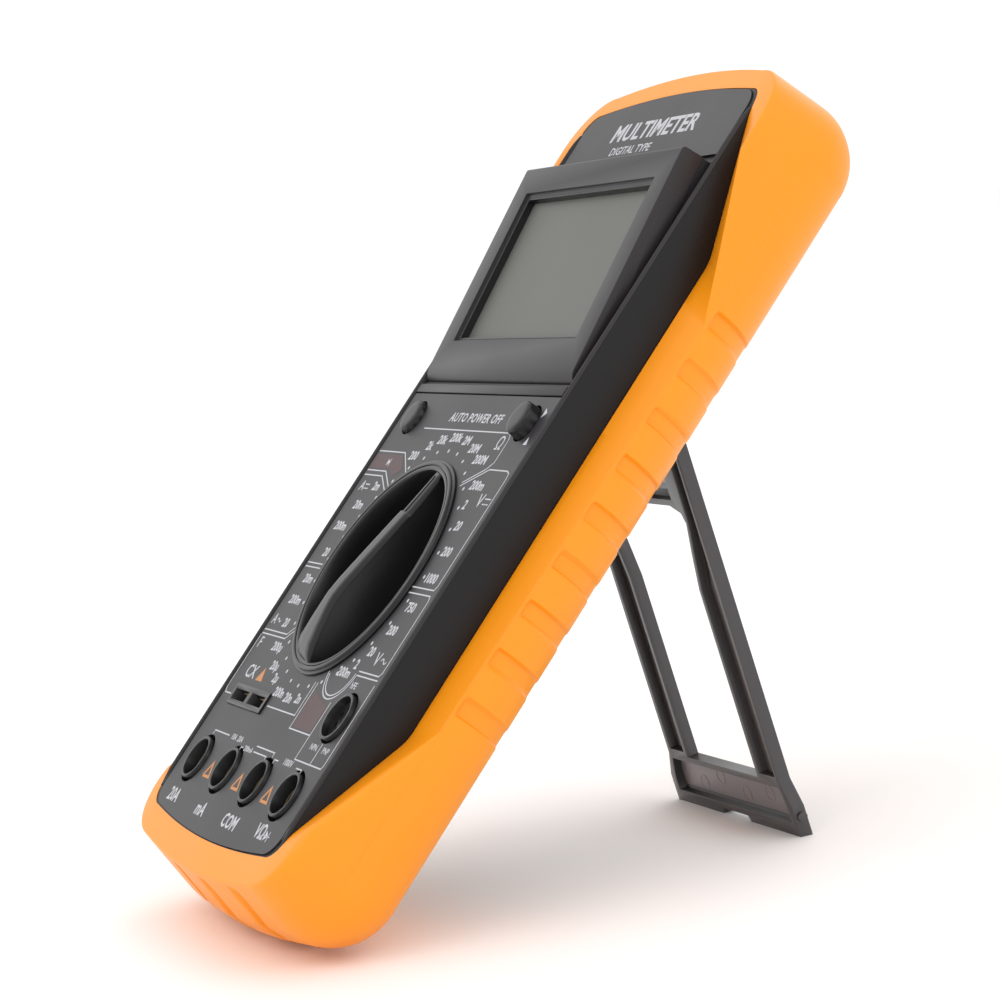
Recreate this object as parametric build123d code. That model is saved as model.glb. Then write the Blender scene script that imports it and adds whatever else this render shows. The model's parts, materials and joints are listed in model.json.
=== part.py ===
from build123d import *
import math
import os

# A hand-held digital multimeter in a rubber holster, leaning on its folding stand.
#
# Every piece is drawn in the meter's own axes, in millimetres: x across the front panel, y along
# the case towards the display, z out of the panel. The selector turns about x = y = 0 and the
# printed panel lies at z = 0. The last section leans the finished meter back onto its stand.

# Case
CASE_HALF_WIDTH = 40.3
CASE_LOW = -66.0
CASE_HIGH = 118.6
CASE_ARCH = 3.6          # how far the middle of each end stands out past its corners
CASE_CORNER = 7.0
CASE_BACK = -24.6
CASE_SPLIT = -12.6
CASE_WALL = 1.8
RIM = -0.3               # the bead that frames the printed panel
PANEL_SEAT = -0.6
PANEL_UNDERSIDE = -2.4
BACK_INNER = CASE_BACK + 2.0

# Printed panels
PANEL_HALF_WIDTH = 38.6
PANEL_LOW = -62.6
PANEL_BREAK = 41.3       # groove under the display
PANEL_HIGH = 116.0
PANEL_ARCH = 2.8
PANEL_CORNER = 5.0

# Selector
KNOB_RADIUS = 25.3
KNOB_RING_RADIUS = 24.7
KNOB_RING_INNER = 22.7
KNOB_RING_TOP = 1.15
KNOB_WALL_RADIUS = 24.2
WELL_RADIUS = 24.7
WELL_FLOOR = -10.6
SHAFT_RADIUS = 5.0
SHAFT_CLEARANCE = 0.05
POINTER_TURN = 11.25     # degrees clockwise of straight up: the fifth of 32 ranges
RANGE_COUNT = 32

# Jacks and sockets
JACK_PITCH = 19.05       # three quarters of an inch
JACK_ROW = -48.7
JACK_BORE_RADIUS = 2.0
JACK_NAMES = ("20a", "ma", "com", "volt")
SOCKET_HOLE_RADIUS = 5.6
TRANSISTOR_X = 30.3
TRANSISTOR_Y = -31.4
CAPACITOR_X = -21.5
CAPACITOR_Y = -33.5
CAPACITOR_LENGTH = 21.6
CAPACITOR_WIDTH = 4.8

# Push buttons
BUTTON_X = 30.3
BUTTON_Y = 35.2
BUTTON_RADIUS = 3.8
BUTTON_HOLE_RADIUS = 4.2
POWER_TOP = 1.4          # latched in
HOLD_TOP = 2.7           # standing out

# Display housing: a flat lid hinged at its lower edge, lying on a sloping seat
HOOD_TILT = 6.6          # degrees that the closed face leans up from the panel
HOOD_HINGE_Y = 47.8
HOOD_HINGE_Z = -2.6
HOOD_HALF_THICKNESS = 3.5
HOOD_HALF_WIDTH = 38.2
HOOD_LENGTH = 48.3       # from the hinge axis to the top edge
HOOD_GAP = 0.3
WINDOW_HALF_WIDTH = 30.8
WINDOW_LOW = 7.0
WINDOW_HIGH = 40.9
WINDOW_DEPTH = 2.2

# Holster
HOLSTER_HALF_WIDTH = 47.3
HOLSTER_LOW = -72.5
HOLSTER_HIGH = 122.5
HOLSTER_ARCH = 5.0
HOLSTER_CORNER = 14.0
HOLSTER_BACK = -27.0
HOLSTER_FRONT = -0.2
HOLSTER_EDGE_ROUND = 11.5
HOLSTER_FIT = 0.15
LIP_LOW = -63.6
LIP_HIGH = 116.3
LIP_THICKNESS = 2.1
SIDE_FRONT = -10.0       # inner front edge of the side walls
SIDE_CREASE = -12.9      # crease at full width

# Folding stand
STAND_HINGE_Y = 54.45
STAND_HINGE_Z = -23.8
STAND_ANGLE = 53.9       # from the back of the meter when open
STAND_LEG = 90.7         # from the hinge to the middle of the sole
STAND_FRONT = -0.3       # face towards the meter, and the back, from the hinge axis
STAND_REAR = -3.0
STAND_KNUCKLE = 3.0
STAND_BAR_X = 20.85
STAND_BAR_WIDTH = 9.3
STAND_FOOT_HALF_WIDTH = 28.0
STAND_PIN_RADIUS = 1.6
PIN_CLEARANCE = 0.05
POCKET_HALF_WIDTH = 33.0
POCKET_LOW = -42.5
POCKET_HIGH = 60.5
POCKET_FLOOR = -20.4
POCKET_INNER = -18.8

# Inside
BOARD_FRONT = -15.8
BOARD_BACK = -17.4
BATTERY_LENGTH = 48.5
BATTERY_WIDTH = 26.0
BATTERY_HIGH = 95.0
BATTERY_FRONT = -5.4
BATTERY_BACK = -22.2

BIG = 400.0


# Helpers


def block(x0, x1, y0, y1, z0, z1):
    size = Box(abs(x1 - x0), y1 - y0, z1 - z0)
    return Pos((x0 + x1) / 2, (y0 + y1) / 2, (z0 + z1) / 2) * size


def disc(radius, z0, z1, x=0.0, y=0.0):
    return Pos(x, y, (z0 + z1) / 2) * Cylinder(radius, z1 - z0)


def ring(outer, inner, z0, z1, x=0.0, y=0.0):
    return disc(outer, z0, z1, x, y) - disc(inner, z0 - 1, z1 + 1, x, y)


def rod(radius, x0, x1, y, z):
    return Pos((x0 + x1) / 2, y, z) * Rot(0, 90, 0) * Cylinder(radius, abs(x1 - x0))


def arched_face(half_width, low, high, arch, corner):
    """Outline of the case and everything that follows it: straight sides, gently bowed ends."""
    left_low = (-half_width, low + arch)
    right_low = (half_width, low + arch)
    right_high = (half_width, high - arch)
    left_high = (-half_width, high - arch)
    edges = [
        ThreePointArc(left_low, (0, low), right_low),
        Line(right_low, right_high),
        ThreePointArc(right_high, (0, high), left_high),
        Line(left_high, left_low),
    ]
    face = make_face(edges)
    return fillet(face.vertices(), corner)


def slab(face, z0, z1):
    return Pos(0, 0, z0) * extrude(face, z1 - z0)


def case_slab(z0, z1, inset=0.0):
    face = arched_face(CASE_HALF_WIDTH - inset, CASE_LOW + inset, CASE_HIGH - inset,
                       CASE_ARCH, CASE_CORNER - min(inset, 3.0))
    return slab(face, z0, z1)


def profile_x(points, half_width):
    """Solid with a (y, z) outline, reaching half_width to each side."""
    face = make_face(Polyline(*points, close=True))
    return extrude(Plane.YZ * face, half_width, both=True)


def in_hood(shape):
    """Places a shape drawn in the display housing's axes: y along the lid, z out of its face."""
    return Pos(0, HOOD_HINGE_Y, HOOD_HINGE_Z) * Rot(HOOD_TILT, 0, 0) * shape


def in_stand(shape):
    """Places a shape drawn flat: y down the leg from the hinge, z towards the meter when folded."""
    return Pos(0, STAND_HINGE_Y, STAND_HINGE_Z) * Rot(STAND_ANGLE, 0, 0) * Rot(0, 0, 180) * shape


def jack_x(index):
    return (index - 1.5) * JACK_PITCH


def lean_angle():
    """Angle of the meter's back over the floor, from the holster's rounded corner and the sole."""
    corner_y = HOLSTER_LOW + HOLSTER_EDGE_ROUND
    corner_z = HOLSTER_BACK + HOLSTER_EDGE_ROUND
    sole_y = STAND_HINGE_Y - STAND_LEG * math.cos(math.radians(STAND_ANGLE))
    sole_z = STAND_HINGE_Z - STAND_LEG * math.sin(math.radians(STAND_ANGLE))
    along = sole_y - corner_y
    down = corner_z - sole_z
    return math.degrees(math.acos(HOLSTER_EDGE_ROUND / math.hypot(along, down)) - math.atan2(along, down))


LEAN = lean_angle()


def below_floor():
    """Everything under the floor, in the meter's own axes."""
    sole_y = STAND_HINGE_Y - STAND_LEG * math.cos(math.radians(STAND_ANGLE))
    sole_z = STAND_HINGE_Z - STAND_LEG * math.sin(math.radians(STAND_ANGLE))
    return Pos(0, sole_y, sole_z) * Rot(-LEAN, 0, 0) * Pos(0, 0, -BIG / 2) * Box(BIG, BIG, BIG)


# Holster


def holster():
    outer_face = arched_face(HOLSTER_HALF_WIDTH, HOLSTER_LOW, HOLSTER_HIGH, HOLSTER_ARCH, HOLSTER_CORNER)
    body = slab(outer_face, HOLSTER_BACK, HOLSTER_FRONT)
    back_edges = body.edges().group_by(Axis.Z)[0]
    body = fillet(back_edges, HOLSTER_EDGE_ROUND)

    inside = case_slab(CASE_BACK, HOLSTER_FRONT - LIP_THICKNESS, -HOLSTER_FIT)
    mouth = slab(arched_face(CASE_HALF_WIDTH + HOLSTER_FIT, LIP_LOW, LIP_HIGH, PANEL_ARCH, PANEL_CORNER),
                 HOLSTER_FRONT - LIP_THICKNESS - 1, 1)
    body = body - inside - mouth

    # the side walls dip between the two ends and bevel out to the crease
    inner = CASE_HALF_WIDTH
    dip = [(inner, SIDE_FRONT), (HOLSTER_HALF_WIDTH + 1, SIDE_CREASE), (HOLSTER_HALF_WIDTH + 1, 5), (inner, 5)]
    dip_face = make_face(Polyline(*dip, close=True))
    window = profile_x([(-57, 6), (-57, 0.2), (-29, SIDE_FRONT + 1.2), (-29, -30), (79, -30),
                        (79, SIDE_FRONT + 1.2), (109, 0.2), (109, 6)], HOLSTER_HALF_WIDTH + 2)
    for side in (Plane.XZ, Plane.XZ * Rot(0, 180, 0)):
        bevel = extrude(side * dip_face, 150, both=True)
        body = body - (bevel & window)

    # window that the stand folds into
    body = body - block(-POCKET_HALF_WIDTH - 1, POCKET_HALF_WIDTH + 1, POCKET_LOW - 1, POCKET_HIGH + 1,
                        HOLSTER_BACK - 1, CASE_BACK + 1)

    # long grooves across the lower end
    for index in range(4):
        x = (index - 1.5) * 15.0
        groove = block(x - 3.2, x + 3.2, HOLSTER_LOW - 3, HOLSTER_LOW + 1.4, HOLSTER_BACK + 9, -7)
        body = body - groove
    return body


# Case


def case_screw_places():
    return [(sx * 34.2, y) for sx in (-1, 1) for y in (-57.0, 105.5)]


def front_case():
    body = case_slab(CASE_SPLIT, RIM)
    mouth = arched_face(CASE_HALF_WIDTH + HOLSTER_FIT / 2, LIP_LOW + HOLSTER_FIT, LIP_HIGH - HOLSTER_FIT,
                        PANEL_ARCH, PANEL_CORNER)
    ledge = HOLSTER_FRONT - LIP_THICKNESS - 0.1
    body = body - (case_slab(ledge, 1, -1) - slab(mouth, ledge - 1, 2))
    seat = arched_face(PANEL_HALF_WIDTH + 0.1, PANEL_LOW - 0.1, PANEL_HIGH + 0.1, PANEL_ARCH, PANEL_CORNER)
    body = body - slab(seat, PANEL_SEAT, 1)

    hollow = case_slab(CASE_SPLIT - 1, PANEL_UNDERSIDE - 1.2, CASE_WALL)
    well = disc(WELL_RADIUS + 1.6, CASE_SPLIT, PANEL_UNDERSIDE)
    pocket = in_hood(block(-CASE_HALF_WIDTH, CASE_HALF_WIDTH, -0.5, HOOD_LENGTH + 2.4,
                           -HOOD_HALF_THICKNESS - 1.5, 3.0))
    hinge_shell = rod(HOOD_HALF_THICKNESS + 1.5, -CASE_HALF_WIDTH, CASE_HALF_WIDTH, HOOD_HINGE_Y, HOOD_HINGE_Z)
    bosses = [disc(3.2, CASE_SPLIT, PANEL_UNDERSIDE, x, y) for x, y in case_screw_places()]
    kept = well + pocket + hinge_shell
    for boss in bosses:
        kept = kept + boss
    body = body - (hollow - kept)

    # selector well, its 32 detent notches and the shaft bore
    body = body - disc(WELL_RADIUS, WELL_FLOOR, 1)
    body = body - disc(SHAFT_RADIUS + SHAFT_CLEARANCE, CASE_SPLIT - 1, 1)
    for index in range(RANGE_COUNT):
        notch = Rot(0, 0, index * 360 / RANGE_COUNT) * Pos(17.5, 0, WELL_FLOOR + 0.75) * Sphere(1.3)
        body = body - notch

    # seat of the display housing
    seat_half_width = HOOD_HALF_WIDTH + HOOD_GAP
    body = body - in_hood(block(-seat_half_width, seat_half_width, 0, HOOD_LENGTH + HOOD_GAP,
                                -HOOD_HALF_THICKNESS - HOOD_GAP, 12))
    body = body - rod(HOOD_HALF_THICKNESS + HOOD_GAP, -seat_half_width, seat_half_width,
                      HOOD_HINGE_Y, HOOD_HINGE_Z)
    for side in (-1, 1):
        body = body - rod(1.2 + PIN_CLEARANCE, side * 37, side * 39.6, HOOD_HINGE_Y, HOOD_HINGE_Z)

    # openings in the panel
    for index in range(4):
        body = body - disc(SOCKET_HOLE_RADIUS, CASE_SPLIT, 1, jack_x(index), JACK_ROW)
    body = body - disc(SOCKET_HOLE_RADIUS, CASE_SPLIT, 1, TRANSISTOR_X, TRANSISTOR_Y)
    body = body - block(CAPACITOR_X - CAPACITOR_LENGTH / 2 - 0.05, CAPACITOR_X + CAPACITOR_LENGTH / 2 + 0.05,
                        CAPACITOR_Y - CAPACITOR_WIDTH / 2 - 0.05, CAPACITOR_Y + CAPACITOR_WIDTH / 2 + 0.05,
                        CASE_SPLIT, 1)
    for side in (-1, 1):
        body = body - disc(BUTTON_HOLE_RADIUS, CASE_SPLIT, 1, side * BUTTON_X, BUTTON_Y)

    # screw pilots
    for x, y in case_screw_places():
        body = body - disc(1.2, CASE_SPLIT - 1, PANEL_UNDERSIDE - 2, x, y)
    return body


def rear_case():
    body = case_slab(CASE_BACK, CASE_SPLIT)
    hollow = case_slab(BACK_INNER, CASE_SPLIT + 1, CASE_WALL)
    pocket = block(-POCKET_HALF_WIDTH - 1.6, POCKET_HALF_WIDTH + 1.6, POCKET_LOW - 1.6, POCKET_HIGH + 1.6,
                   CASE_BACK, POCKET_INNER)
    bosses = [disc(3.6, CASE_BACK, CASE_SPLIT, x, y) for x, y in case_screw_places()]
    kept = pocket
    for boss in bosses:
        kept = kept + boss
    body = body - (hollow - kept)
    body = body - block(-POCKET_HALF_WIDTH, POCKET_HALF_WIDTH, POCKET_LOW, POCKET_HIGH,
                        CASE_BACK - 1, POCKET_FLOOR)

    # ears that carry the stand's hinge pins
    ear_inner = STAND_BAR_X + STAND_BAR_WIDTH / 2 + 0.4
    for side in (-1, 1):
        ear = block(side * ear_inner, side * (ear_inner + 4),
                    STAND_HINGE_Y - 4, STAND_HINGE_Y + 4, HOLSTER_BACK + 0.3, POCKET_FLOOR)
        body = body + ear
        body = body - rod(STAND_PIN_RADIUS + PIN_CLEARANCE, side * (ear_inner - 0.5), side * (ear_inner + 4.5),
                          STAND_HINGE_Y, STAND_HINGE_Z)

    # battery opening
    body = body - block(-26.5, 26.5, 67.0, 97.0, CASE_BACK - 1, BACK_INNER + 0.5)

    for x, y in case_screw_places():
        body = body - disc(1.5, CASE_BACK - 1, CASE_SPLIT + 1, x, y)
        body = body - disc(2.9, CASE_BACK - 1, CASE_BACK + 2.6, x, y)
    return body


def case_screws():
    screws = []
    for x, y in case_screw_places():
        head = disc(2.7, CASE_BACK + 0.6, CASE_BACK + 2.6, x, y)
        slot = block(x - 1.9, x + 1.9, y - 0.35, y + 0.35, CASE_BACK, CASE_BACK + 1.4)
        cross = block(x - 0.35, x + 0.35, y - 1.9, y + 1.9, CASE_BACK, CASE_BACK + 1.4)
        screws.append(head - slot - cross + disc(1.2, CASE_BACK + 2.6, PANEL_UNDERSIDE - 3, x, y))
    return Compound(children=screws)


def battery_door():
    door = block(-26.3, 26.3, 67.2, 96.8, CASE_BACK + 0.1, BACK_INNER - 0.2)
    grips = [block(-8, 8, 70 + 1.6 * step, 70.7 + 1.6 * step, CASE_BACK, CASE_BACK + 0.5) for step in range(4)]
    for grip in grips:
        door = door - grip
    tongue = block(-6, 6, 96.8, 98.6, BACK_INNER + 0.1, BACK_INNER + 1.1)
    tongue = tongue + block(-6, 6, BATTERY_HIGH + 0.4, 96.8, BACK_INNER - 0.3, BACK_INNER + 1.1)
    return door + tongue


# Printed panels and the strip between them


def lower_panel():
    face = arched_face(PANEL_HALF_WIDTH, PANEL_LOW, PANEL_HIGH, PANEL_ARCH, PANEL_CORNER)
    panel = slab(face, PANEL_SEAT, 0) & block(-60, 60, -90, PANEL_BREAK, -2, 2)
    panel = panel - disc(WELL_RADIUS, -2, 2)
    for index in range(4):
        panel = panel - disc(SOCKET_HOLE_RADIUS, -2, 2, jack_x(index), JACK_ROW)
    panel = panel - disc(SOCKET_HOLE_RADIUS, -2, 2, TRANSISTOR_X, TRANSISTOR_Y)
    panel = panel - block(CAPACITOR_X - CAPACITOR_LENGTH / 2 - 0.05, CAPACITOR_X + CAPACITOR_LENGTH / 2 + 0.05,
                          CAPACITOR_Y - CAPACITOR_WIDTH / 2 - 0.05, CAPACITOR_Y + CAPACITOR_WIDTH / 2 + 0.05,
                          -2, 2)
    for side in (-1, 1):
        panel = panel - disc(BUTTON_HOLE_RADIUS, -2, 2, side * BUTTON_X, BUTTON_Y)
    return panel


def hinge_strip():
    return block(-PANEL_HALF_WIDTH, PANEL_HALF_WIDTH, PANEL_BREAK + 0.3, 43.7, PANEL_SEAT, 0.2)


def upper_panel():
    face = arched_face(PANEL_HALF_WIDTH, PANEL_LOW, PANEL_HIGH, PANEL_ARCH, PANEL_CORNER)
    return slab(face, PANEL_SEAT, 0) & block(-60, 60, 98.0, 130, -2, 2)


# Selector


def selector_knob():
    dish = disc(KNOB_WALL_RADIUS, WELL_FLOOR + 0.5, 0.6)
    flange = disc(KNOB_RADIUS, 0.2, 0.55)
    rim = disc(KNOB_RING_RADIUS, 0.5, KNOB_RING_TOP)
    dish = dish + flange + rim - disc(KNOB_RING_INNER, WELL_FLOOR + 2.2, 2)
    shaft = disc(SHAFT_RADIUS, CASE_SPLIT - 0.3, WELL_FLOOR + 1)
    # handle: narrow at the pointer, flared at the tail, its crest highest just behind the middle
    outline = [(-5.3, -22.0), (5.3, -22.0), (2.9, -10), (2.8, 12), (1.7, KNOB_RING_INNER + 0.2),
               (-1.7, KNOB_RING_INNER + 0.2), (-2.8, 12), (-2.9, -10)]
    floor = WELL_FLOOR + 2
    crest = profile_x([(-22.8, floor), (-22.8, 1.1), (-20.5, 2.7), (-9, 4.2), (0, 3.4),
                       (KNOB_RING_INNER, 0.9), (KNOB_RING_INNER, floor)], 10)
    bar = slab(make_face(Polyline(*outline, close=True)), floor, 5) & crest
    knob = dish + shaft + bar
    socket = block(-2.6, 2.6, -1.3, 1.3, CASE_SPLIT - 1, WELL_FLOOR - 0.4)
    return Rot(0, 0, -POINTER_TURN) * (knob - socket)


def contact_carrier():
    plate = disc(17.0, -14.6, CASE_SPLIT - 0.35)
    key = block(-2.5, 2.5, -1.2, 1.2, CASE_SPLIT - 0.5, WELL_FLOOR - 0.5)
    carrier = plate + key
    for index in range(6):
        slot = Rot(0, 0, index * 60) * block(8.0, 15.0, -1.0, 1.0, -14.8, -14.1)
        carrier = carrier - slot
    return Rot(0, 0, -POINTER_TURN) * carrier


def wipers():
    springs = []
    for index in range(6):
        strip = block(8.2, 14.8, -0.8, 0.8, -14.4, -14.1)
        foot = Pos(11.5, 0, -14.55) * Rot(90, 0, 0) * Cylinder(0.9, 1.4)
        trimmed = (strip + foot) - block(5, 20, -3, 3, -14.1, -10)
        springs.append(Rot(0, 0, index * 60 - POINTER_TURN) * trimmed)
    return Compound(children=springs)


# Jacks, sockets and buttons


def jack_shroud(index):
    x = jack_x(index)
    cup = ring(4.8, 4.15, -11.0, 0.7, x, JACK_ROW)
    floor = ring(4.8, 2.95, -12.2, -11.0, x, JACK_ROW)
    collar = ring(SOCKET_HOLE_RADIUS - 0.05, 4.8, -4.4, -1.6, x, JACK_ROW)
    flange = ring(6.6, 4.8, -5.4, -4.4, x, JACK_ROW)
    return cup + floor + collar + flange


def jack_contact(index):
    x = jack_x(index)
    tube = ring(2.9, JACK_BORE_RADIUS, BOARD_FRONT, -1.4, x, JACK_ROW)
    return tube - block(x - 0.25, x + 0.25, JACK_ROW - 4, JACK_ROW - 1, BOARD_FRONT + 5.5, -8)


def transistor_socket():
    body = disc(5.0, -9.0, 0.8, TRANSISTOR_X, TRANSISTOR_Y)
    body = body + ring(SOCKET_HOLE_RADIUS - 0.05, 4.9, -4.4, -1.6, TRANSISTOR_X, TRANSISTOR_Y)
    body = body - disc(4.4, -0.9, 2, TRANSISTOR_X, TRANSISTOR_Y)
    for index in range(8):
        turn = math.radians(index * 45 + 22.5)
        body = body - disc(0.5, -8, 2, TRANSISTOR_X + 2.9 * math.cos(turn), TRANSISTOR_Y + 2.9 * math.sin(turn))
    return body


def capacitor_socket():
    half_length = CAPACITOR_LENGTH / 2
    half_width = CAPACITOR_WIDTH / 2
    body = block(CAPACITOR_X - half_length, CAPACITOR_X + half_length,
                 CAPACITOR_Y - half_width, CAPACITOR_Y + half_width, -8.5, 0.4)
    for side in (-1, 1):
        centre = CAPACITOR_X + side * 5.3
        body = body - block(centre - 4.2, centre + 4.2, CAPACITOR_Y - 1.2, CAPACITOR_Y + 1.2, -7.5, 2)
    return body


def capacitor_contacts():
    clips = []
    for side in (-1, 1):
        centre = CAPACITOR_X + side * 5.3
        for face in (-1, 1):
            y = CAPACITOR_Y + face * 1.0
            clips.append(block(centre - 3.0, centre + 3.0, y - 0.15, y + 0.15, -7.4, -1.2))
    return Compound(children=clips)


def button_cap(side, top):
    x = side * BUTTON_X
    crown = disc(BUTTON_RADIUS, top - 2.6, top, x, BUTTON_Y)
    crown = chamfer(crown.edges().group_by(Axis.Z)[-1], 0.5)
    skirt = disc(BUTTON_RADIUS - 0.3, top - 6.0, top - 2.6, x, BUTTON_Y)
    stem = block(x - 1.6, x + 1.6, BUTTON_Y - 1.6, BUTTON_Y + 1.6, top - 13.0, top - 6.0)
    return crown + skirt + stem


def push_switch(side, top):
    x = side * BUTTON_X
    body = block(x - 4.0, x + 4.0, BUTTON_Y - 4.0, BUTTON_Y + 4.0, BOARD_FRONT, top - 8.8)
    return body - block(x - 1.8, x + 1.8, BUTTON_Y - 1.8, BUTTON_Y + 1.8, BOARD_FRONT + 1.4, top)


# Electronics


def main_board():
    board = block(-37.4, 37.4, -60.0, 64.0, BOARD_BACK, BOARD_FRONT)
    for side in (-1, 1):
        board = board - block(side * 37.4 - 7.2, side * 37.4 + 7.2, -61, -53.0, BOARD_BACK - 1, BOARD_FRONT + 1)
    return board


def rotary_tracks():
    tracks = []
    for index in range(4):
        inner = 7.8 + index * 2.2
        tracks.append(ring(inner + 1.2, inner, BOARD_FRONT, BOARD_FRONT + 0.05))
    return Compound(children=tracks)


def converter_chip():
    body = block(-33.5, -26.5, -20, 10, BOARD_FRONT + 0.8, BOARD_FRONT + 4.2)
    for index in range(12):
        y = -18.4 + index * 2.4
        for x0, x1 in ((-34.6, -33.5), (-26.5, -25.4)):
            body = body + block(x0, x1, y - 0.3, y + 0.3, BOARD_FRONT, BOARD_FRONT + 2.0)
    return body


def trimmers():
    pots = []
    for index in range(3):
        y = -14 + index * 11
        pot = block(28.0, 34.5, y - 3.2, y + 3.2, BOARD_FRONT, BOARD_FRONT + 4.4)
        pots.append(pot - block(30.4, 32.1, y - 2.2, y + 2.2, BOARD_FRONT + 3.6, BOARD_FRONT + 5))
    return Compound(children=pots)


def thermistor():
    disc_body = Pos(-32.0, 22.0, BOARD_FRONT + 5.0) * Rot(0, 90, 0) * Cylinder(4.2, 2.6)
    leads = block(-32.3, -31.7, 19.5, 20.1, BOARD_FRONT, BOARD_FRONT + 2.5)
    return disc_body + leads + block(-32.3, -31.7, 23.9, 24.5, BOARD_FRONT, BOARD_FRONT + 2.5)


def shunt_wire():
    span = 16.0
    x0 = jack_x(0) + 1.5
    rise = BOARD_FRONT + 5.0
    y = JACK_ROW + 9.0
    wire = rod(0.8, x0, x0 + span, y, rise)
    return wire + disc(0.8, BOARD_FRONT, rise, x0, y) + disc(0.8, BOARD_FRONT, rise, x0 + span, y)


def fuse():
    glass = rod(2.5, -2.0, 10.0, -34.5, BOARD_FRONT + 4.2)
    return glass + rod(2.6, -5.0, -1.8, -34.5, BOARD_FRONT + 4.2) + rod(2.6, 9.8, 13.0, -34.5, BOARD_FRONT + 4.2)


def fuse_clips():
    clips = []
    for x in (-3.4, 11.4):
        clip = block(x - 1.4, x + 1.4, -37.9, -31.1, BOARD_FRONT, BOARD_FRONT + 4.6)
        clips.append(clip - rod(2.65, x - 2, x + 2, -34.5, BOARD_FRONT + 4.2))
    return Compound(children=clips)


def buzzer():
    return disc(6.0, BOARD_FRONT, BOARD_FRONT + 2.4, 0, 35.0) + disc(4.0, BOARD_FRONT + 2.4, BOARD_FRONT + 2.9, 0, 35.0)


def battery():
    half = BATTERY_LENGTH / 2
    cell = block(-half, half - 2.5, BATTERY_HIGH - BATTERY_WIDTH, BATTERY_HIGH, BATTERY_BACK, BATTERY_FRONT)
    cell = fillet(cell.edges().filter_by(Axis.X), 1.5)
    middle_z = (BATTERY_BACK + BATTERY_FRONT) / 2
    middle_y = BATTERY_HIGH - BATTERY_WIDTH / 2
    for side in (-1, 1):
        cell = cell + rod(2.9, half - 2.6, half - 0.3, middle_y + side * 6.35, middle_z)
    return cell


def battery_snap():
    half = BATTERY_LENGTH / 2
    middle_z = (BATTERY_BACK + BATTERY_FRONT) / 2
    middle_y = BATTERY_HIGH - BATTERY_WIDTH / 2
    cover = block(half - 0.2, half + 2.2, middle_y - 12.5, middle_y + 12.5, middle_z - 6.5, middle_z + 6.5)
    for side in (-1, 1):
        cover = cover + (rod(3.6, half - 2.3, half, middle_y + side * 6.35, middle_z)
                         - rod(2.95, half - 3, half - 0.2, middle_y + side * 6.35, middle_z))
    return cover


# Display housing


def display_hood():
    inner = HOOD_HALF_THICKNESS
    body = block(-HOOD_HALF_WIDTH, HOOD_HALF_WIDTH, 0, HOOD_LENGTH, -1.5, inner)
    body = body + (rod(inner, -HOOD_HALF_WIDTH, HOOD_HALF_WIDTH, 0, 0) & block(-60, 60, -9, 0.1, -9, 9))
    top_edges = body.edges().filter_by(Axis.X).sort_by(Axis.Y)[-2:]
    body = fillet(top_edges.sort_by(Axis.Z)[-1:], 0.8)
    hollow = block(-35.2, 35.2, 3.6, HOOD_LENGTH - 1.8, -3, 1.3)
    window = block(-WINDOW_HALF_WIDTH, WINDOW_HALF_WIDTH, WINDOW_LOW, WINDOW_HIGH, 0, inner + 1)
    step = block(-WINDOW_HALF_WIDTH - 0.9, WINDOW_HALF_WIDTH + 0.9, WINDOW_LOW - 0.6, WINDOW_HIGH + 0.9,
                 inner - 0.7, inner + 1)
    body = body - hollow - window - step
    for side in (-1, 1):
        body = body - rod(1.2, side * 33, side * 39, 0, 0)
    return in_hood(body)


def display_back():
    plate = block(-HOOD_HALF_WIDTH + 0.2, HOOD_HALF_WIDTH - 0.2, 0.2, HOOD_LENGTH - 0.2,
                  -HOOD_HALF_THICKNESS, -1.55)
    plate = plate - block(-35.0, 35.0, 3.8, HOOD_LENGTH - 2, -HOOD_HALF_THICKNESS + 1.0, 0)
    return in_hood(plate)


def display_hinge_pins():
    pins = [rod(1.2, side * 33.2, side * 39.3, 0, 0) for side in (-1, 1)]
    return in_hood(Compound(children=pins))


def lcd_window():
    return in_hood(block(-34.5, 34.5, 4.2, HOOD_LENGTH - 2.6, 0.5, 1.25))


def lcd_glass():
    back = block(-33.0, 33.0, 5.0, 44.0, -1.1, 0.0)
    front = block(-33.0, 33.0, 7.6, 44.0, 0.0, 0.45)
    return in_hood(back + front)


def lcd_board():
    return in_hood(block(-34.0, 34.0, 4.2, HOOD_LENGTH - 2.6, -2.35, -1.6))


def contact_strip():
    return in_hood(block(-30.0, 30.0, 5.1, 7.1, -1.6, -1.1))


# Folding stand


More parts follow.
